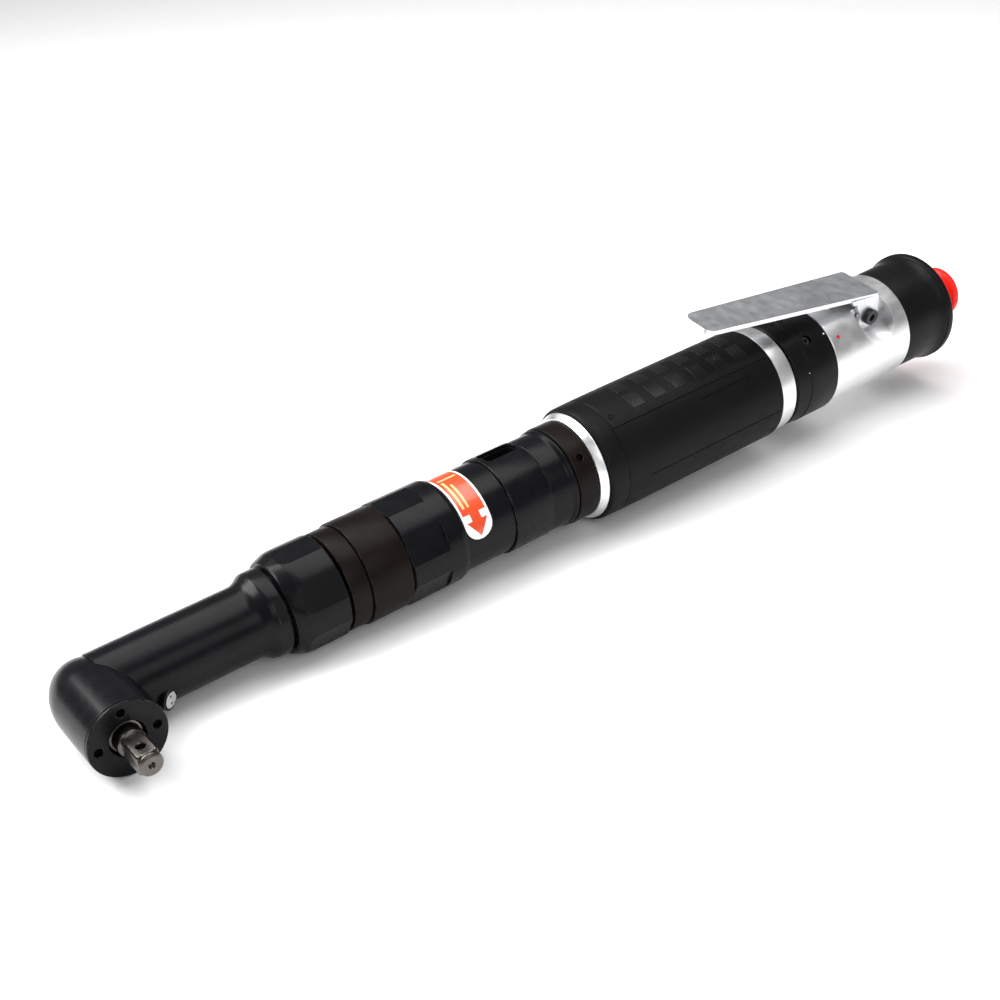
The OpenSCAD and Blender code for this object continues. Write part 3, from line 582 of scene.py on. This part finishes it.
def make_grip():
    """Motor housing with its bright rings, the rubber grip over it, and the grip's grooves and pads."""
    tube = revolve("motor_housing_body", [
        (168.4, 14.5), (168.4, 17.1, 0.2), (170.7, 18.35, 0.25), (171.1, 18.35, 0.1), (171.1, 17.3, 0),
        (248.7, 17.3, 0), (248.7, 19.25, 0.25), (255.1, 19.25, 0.35), (255.1, 15.4), (245.1, 15.4),
        (245.1, 15.95), (171, 15.95), (171, 14.5),
    ], segs=144)
    dress(tube, "bright_aluminium", "housing", "motor_housing")
    grip = revolve("rubber_grip_body", [
        (171.3, 17.32, 0), (171.3, 18.9, 0.8), (172.2, 19.55, 0.6), (178.2, 19.75, 0.15),
        (178.5, 19.45, 0.1), (178.8, 19.75, 0.15), (190, 19.85, 0), (246, 19.85, 0), (248.1, 19.9, 0.8),
        (248.5, 19.3, 0.4), (248.5, 17.32, 0),
    ], segs=160, fillet=0.3)
    # grooves along the grip: (angle, first station, last station)
    grooves = ((50, 178.7, 247.6), (-8, 188, 247.6), (130, 178.7, 247.6), (188, 188, 247.6), (40, 214, 237),
               (240, 178.7, 247.6))
    for a, x0, x1 in grooves:
        combine(grip, block(tangent_place(a), (x0, x1), (-0.14, 0.14), (19.5, 22)))
    mark_x, mark_angle = 180.8, 62
    combine(grip, rod(on_tool(mark_x, 19.45, mark_angle), outward(mark_angle), 0.95, 2, 32))
    edge_bevel(grip, 0.12)
    dress(grip, "grip_rubber", "housing", "rubber_grip")
    spot = rod(on_tool(mark_x, 19.4, mark_angle), outward(mark_angle), 0.7, 0.4, 32)
    spot = to_object(spot, "grip_mark", 0.1)
    dress(spot, "grip_rubber", "housing")
    # plain raised pads along the top stand where the real grip has a raised mark
    for i in range(6):
        x = 190 + 9.2 * i
        for k, (a0, a1) in enumerate(((60, 78), (84, 102))):
            pad = curved_patch(f"grip_pad_{i + 1}_{k + 1}", x, x + 5.2, a0, a1, 19.7, 20.0, 8, 0.14)
            dress(pad, "grip_rubber", "housing", look="grip_pad")


# ---------- valve end ----------

def make_valve_end():
    """Reversing ring and its screw, valve housing, rear cover and dust plug."""
    ring = revolve("reverse_ring_body", [
        (255.95, 15.4), (255.95, 18.8, 0.4), (256.5, 19.25, 0.3), (262.5, 19.25, 0.2),
        (262.8, 19.55, 0.2), (275.8, 19.6, 0.45), (275.8, 15.4),
    ], segs=144)
    out, screw_x = outward(SCREW_ANGLE), 266.7
    combine(ring, rod(on_tool(screw_x, 14, SCREW_ANGLE), out, 1.56, 7))
    combine(ring, rod(on_tool(screw_x, 18.2, SCREW_ANGLE), out, 1.85, 3))
    edge_bevel(ring, 0.12)
    dress(ring, "black_anodised", "reverser", "reverse_ring")
    screw = to_object(rod(on_tool(screw_x, 9.2, SCREW_ANGLE), out, 1.48, 9.5), "reverse_screw_body", 0.15)
    combine(screw, rod(on_tool(screw_x, 17.3, SCREW_ANGLE), out, 0.8, 3, 6))
    dress(screw, "screw_black", "reverser", "reverse_screw")
    dots = (("ring_dot", 274.6, 19.4, 47, 0.35), ("ring_dot_front", 262.2, 19.1, 16, 0.18))
    for name, x, base, a, r in dots:
        dot = to_object(rod(on_tool(x, base, a), outward(a), r, 0.2, 24), name)
        dress(dot, "black_anodised", "reverser", look="white_film")

    house = revolve("valve_housing_body", [
        (246, 12.3, 0.1), (246, 15.25), (276.2, 15.25, 0), (276.2, 18.85, 0.2), (276.5, 19.1, 0.2),
        (313.8, 19.1, 0.25), (314.1, 18.8, 0.1), (314.1, 15), (321.2, 15), (321.2, 8.65), (300, 8.65, 0),
        (300, 0, 0), (274.5, 0, 0), (274.5, 12.3, 0),
    ], segs=160)
    # recesses for the ears, hole for their screw, and the plunger's hole and bore
    for side in (-1, 1):
        sideways = on_lever(0, side, 0) - on_lever(0, 0, 0)
        combine(house, rod(on_lever(299.5, side * 6.9, 15), sideways, 8.2, 14, 72))
    pivot_x, pivot_h = LEVER_PIVOT
    combine(house, rod(on_lever(pivot_x, -12, pivot_h), on_lever(0, 1, 0) - on_lever(0, 0, 0), 2, 24))
    up = on_lever(0, 0, 1) - on_lever(0, 0, 0)
    combine(house, rod(on_lever(287, 0, 10), up, 2.1, 14))
    combine(house, rod(on_lever(287, 0, -20), up, 4.05, 31))
    # slot for the travel of the reversing screw
    wedge = bmesh.new()
    steps = 14
    angles = [0.9 + 56 * j / steps for j in range(steps + 1)]
    rows = []
    for x in (265.0, 268.4):
        loop = [on_tool(x, 11, a) for a in angles] + [on_tool(x, 16.5, a) for a in reversed(angles)]
        rows.append([wedge.verts.new(p) for p in loop])
    n = len(rows[0])
    for j in range(n):
        wedge.faces.new((rows[0][j], rows[0][(j + 1) % n], rows[1][(j + 1) % n], rows[1][j]))
    for row in rows:
        for j in range(steps):
            wedge.faces.new((row[j], row[j + 1], row[n - 2 - j], row[n - 1 - j]))
    combine(house, wedge)
    edge_bevel(house, 0.3, 35, 3)
    dress(house, "bright_aluminium", "housing", "valve_housing")
    dot_angle = 37.6
    dot = rod(on_tool(280.1, 18.9, dot_angle), outward(dot_angle), 0.75, 0.22, 28)
    dot = to_object(dot, "housing_dot_red")
    dress(dot, "bright_aluminium", "housing", look="red_paint")

    cover = revolve("rear_cover_body", [
        (314.3, 15.1), (314.3, 18.6, 0.25), (328.5, 18.8, 3), (331.4, 19.1, 2), (333.4, 19.9, 0.5),
        (333.7, 19.75, 0.1), (334.0, 20.1, 0.15), (334.3, 20.3, 0.2), (336.5, 20.3, 0.6),
        (337.3, 19.3, 0.4), (337.3, 8.7), (334.9, 8.7), (334.9, 15.1),
    ], segs=160)
    for k in range(12):
        combine(cover, rod(on_tool(333, 13.6, 180 + 30 * k), (1, 0, 0), 1.5, 6, 32))
    edge_bevel(cover, 0.15)
    dress(cover, "black_anodised", "housing", "rear_cover")
    plug = revolve("dust_plug_body", [
        (331.3, 0, 0), (331.3, 6.6), (341.1, 6.7, 0.1), (341.1, 7.8, 0.3), (344, 7.5, 0.5),
        (349.4, 7.4, 1), (350.6, 9.3, 0.3), (351.1, 9.65, 0.4), (352.9, 9.65, 0.6), (353.6, 8.9, 0.5),
        (353.6, 6.4, 0.4), (352.9, 6.0, 0.3), (352.9, 0, 0),
    ], segs=96)
    for k in range(10):
        combine(plug, rod(on_tool(350.2, 10.1, 36 * k), (1, 0, 0), 0.7, 4, 20))
    edge_bevel(plug, 0.15)
    dress(plug, "plug_red", "plug", "dust_plug")


def make_lever():
    """Throttle lever, bent from one sheet, and the screw it turns on."""
    slope = math.radians(LEVER_SLOPE)
    pivot_x, pivot_h = LEVER_PIVOT

    def sheet(u, lat, w):
        """u runs from the root to the tip, w out from the sheet's underside."""
        return on_lever(304.2 - u * math.cos(slope) + w * math.sin(slope), lat,
                        20.2 + u * math.sin(slope) + w * math.cos(slope))

    tip, half_root, half_tip = 84.6, 8.9, 6.7
    outline = [(0.4, -half_root + 0.8), (1.2, -half_root)]
    for cx, cy, rad, start in ((tip - 3.2, -half_tip + 3.2, 3.2, -90), (tip - 4.6, half_tip - 4.6, 4.6, 0)):
        for k in range(9):
            a = math.radians(start + 90 * k / 8)
            outline.append((cx + rad * math.cos(a), cy + rad * math.sin(a)))
    outline += [(1.2, half_root), (0.4, half_root - 0.8)]
    lever = to_object(slab(sheet, outline, 0, LEVER_T), "throttle_lever_body", 0.28, 30, 3)
    # side walls folded down from the sheet into the two ears
    ear = []
    for k in range(21):
        a = math.radians(160 + 220 * k / 20)
        ear.append((pivot_x + 4.9 * math.cos(a), pivot_h + 4.9 * math.sin(a)))
    ear += [(303.9, 20.9), (291.4, 22.9), (293.0, 19.6), (294.4, 17.0)]
    fold = [(1.5, -1.5), (1.5, 0.4), (15, 0.4), (13.4, -1.5)]
    for side in (-1, 1):
        combine(lever, slab(lambda x, h, lat, s=side: on_lever(x, s * lat, h), ear, 7.3, 8.9), "UNION")
        combine(lever, slab(lambda u, w, lat, s=side: sheet(u, s * lat, w), fold, 7.3, 8.9), "UNION")
    across = on_lever(0, 1, 0) - on_lever(0, 0, 0)
    combine(lever, rod(on_lever(pivot_x, -20, pivot_h), across, 2.1, 40))
    dress(lever, "zinc_sheet", "lever", "throttle_lever")

    screw = rod(on_lever(pivot_x, -9.2, pivot_h), across, 2, 18.6, 48)
    screw = to_object(screw, "lever_screw_body", 0.2, 30)
    combine(screw, rod(on_lever(pivot_x, -10.85, pivot_h), across, 2.9, 1.75, 48), "UNION")
    combine(screw, rod(on_lever(pivot_x, -11.5, pivot_h), across, 1.4, 2.0, 6))
    dress(screw, "screw_black", "housing", "lever_screw")


make_head()
make_spindle()
make_sleeves()
make_label()
make_grip()
make_valve_end()
make_lever()


# ---------- floor, light and camera ----------

def aim(obj, target):
    """Turns a lamp towards a point."""
    obj.rotation_mode = "QUATERNION"
    obj.rotation_quaternion = (Vector(target) - obj.location).to_track_quat("-Z", "Y")


def softbox(name, place, target, width, height, power):
    """A white rectangular lamp. Places and sizes are in metres."""
    data = bpy.data.lights.new(name, "AREA")
    data.shape, data.size, data.size_y, data.energy = "RECTANGLE", width, height, power
    lamp = bpy.data.objects.new(name, data)
    lamp.location = place
    bpy.context.scene.collection.objects.link(lamp)
    aim(lamp, target)


# The floor leans as the line from the head to the front lip of the grip does
bm = bmesh.new()
floor_z, floor_near, floor_far = -11.7, -4000, 9000
lean = (19.8 - HEAD_R) / 172
corners = [(floor_near, floor_near), (floor_far, floor_near), (floor_far, floor_far),
           (floor_near, floor_far)]
bm.faces.new([bm.verts.new((x, y, floor_z - lean * x)) for x, y in corners])
floor = to_object(bm, "floor")
white = material("floor_white", (0.86, 0.86, 0.865), 0.7, 0.0, 0.2, 0.01, 400, 0.02)
floor.data.materials.append(white)

softbox("key", (-0.3, 0.4, 0.6), (0.15, 0.03, 0), 0.6, 0.35, 8.0)
softbox("top", (0.35, 0.15, 0.9), (0.17, 0.03, 0), 1.2, 0.6, 9.0)
softbox("front_fill", (0.1, -0.9, 0.6), (0.15, 0.03, 0), 0.8, 0.5, 2.5)

world = bpy.data.worlds.new("studio")
bpy.context.scene.world = world
world.use_nodes = True
wn = world.node_tree.nodes
wn["Background"].inputs["Color"].default_value = (1, 1, 1, 1)
# Diffuse light comes from all round; shiny surfaces see a dimmer room, so that the blacks stay deep
rays = world.node_tree.nodes.new("ShaderNodeLightPath")
dim = world.node_tree.nodes.new("ShaderNodeMapRange")
dim.inputs["To Min"].default_value, dim.inputs["To Max"].default_value = 0.6, 0.22
world.node_tree.links.new(rays.outputs["Is Glossy Ray"], dim.inputs["Value"])
world.node_tree.links.new(dim.outputs["Result"], wn["Background"].inputs["Strength"])

cam_data = bpy.data.cameras.new("camera")
cam_data.lens, cam_data.sensor_width = 54.0, 36.0
cam = bpy.data.objects.new("camera", cam_data)
bpy.context.scene.collection.objects.link(cam)
right = Vector((0.79486, -0.59791, -0.10343))
up = Vector((0.37907, 0.35620, 0.85406))
back = Vector((-0.47381, -0.71807, 0.50978))
cam.matrix_world = Matrix(((right.x, up.x, back.x, -0.0849), (right.y, up.y, back.y, -0.3083),
                           (right.z, up.z, back.z, 0.2431), (0, 0, 0, 1)))
cam_data.clip_start, cam_data.clip_end = 0.01, 20
bpy.context.scene.camera = cam
bpy.context.scene.view_settings.view_transform = "Standard"
